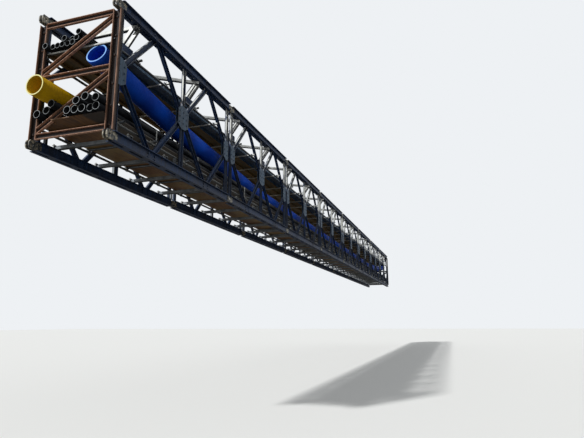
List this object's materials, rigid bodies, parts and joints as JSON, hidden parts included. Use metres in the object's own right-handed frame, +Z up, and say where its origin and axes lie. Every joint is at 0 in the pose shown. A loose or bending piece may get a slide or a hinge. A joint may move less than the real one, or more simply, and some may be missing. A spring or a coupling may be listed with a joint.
{
  "type": "temporary services bridge",
  "caption": "Straight temporary bridge of pinned lattice truss panels that carries pipes and cable ducts on two decks between its trusses.",
  "frame": {"origin": "on the floor under the middle of the bridge, midway between the trusses", "axes": "+X along the bridge to its far end, +Y across it to the left truss, +Z up"},
  "size_m": [36.8, 1.737, 2.56],
  "materials": {
    "truss_steel": "dark slate grey paint, weathered",
    "pin_steel": "plated steel",
    "frame_steel": "rusted red-brown steel",
    "brace_steel": "weathered galvanised steel",
    "galvanised_tube": "galvanised, weathered",
    "plywood": "plywood with a brown face",
    "timber": "sawn softwood",
    "blue_pipe": "blue polyethylene",
    "yellow_pipe": "yellow polyethylene",
    "black_duct": "black polyethylene"
  },
  "bodies": {
    "root": {"blue_pipe_far_end": "blue_pipe", "blue_pipe_far_fall": "blue_pipe", "blue_pipe_middle": "blue_pipe", "blue_pipe_near_end": "blue_pipe", "blue_pipe_near_fall": "blue_pipe", "bottom_cross_struts": "brace_steel", "deck_uprights": "brace_steel", "duct_packers": "timber", "far_end_frame": "frame_steel", "left_truss_panel_1": "truss_steel", "left_truss_panel_2": "truss_steel", "left_truss_panel_3": "truss_steel", "left_truss_panel_4": "truss_steel", "left_truss_panel_5": "truss_steel", "left_truss_panel_6": "truss_steel", "left_truss_panel_7": "truss_steel", "left_truss_panel_8": "truss_steel", "lower_cross_tubes": "galvanised_tube", "lower_deck_sheets": "plywood", "lower_ducts_bottom_row": "black_duct", "lower_ducts_left": "black_duct", "lower_ducts_second_row": "black_duct", "lower_ledger_tubes": "galvanised_tube", "near_end_frame": "frame_steel", "panel_pins": "pin_steel", "raking_struts": "brace_steel", "right_truss_panel_1": "truss_steel", "right_truss_panel_2": "truss_steel", "right_truss_panel_3": "truss_steel", "right_truss_panel_4": "truss_steel", "right_truss_panel_5": "truss_steel", "right_truss_panel_6": "truss_steel", "right_truss_panel_7": "truss_steel", "right_truss_panel_8": "truss_steel", "top_cross_beams": "brace_steel", "upper_cross_tubes": "galvanised_tube", "upper_deck_joists": "timber", "upper_deck_sheets": "plywood", "upper_ducts": "black_duct", "upper_edge_beam": "truss_steel", "upper_ledger_tubes": "galvanised_tube", "yellow_pipe": "yellow_pipe"}
  },
  "joints": []
}
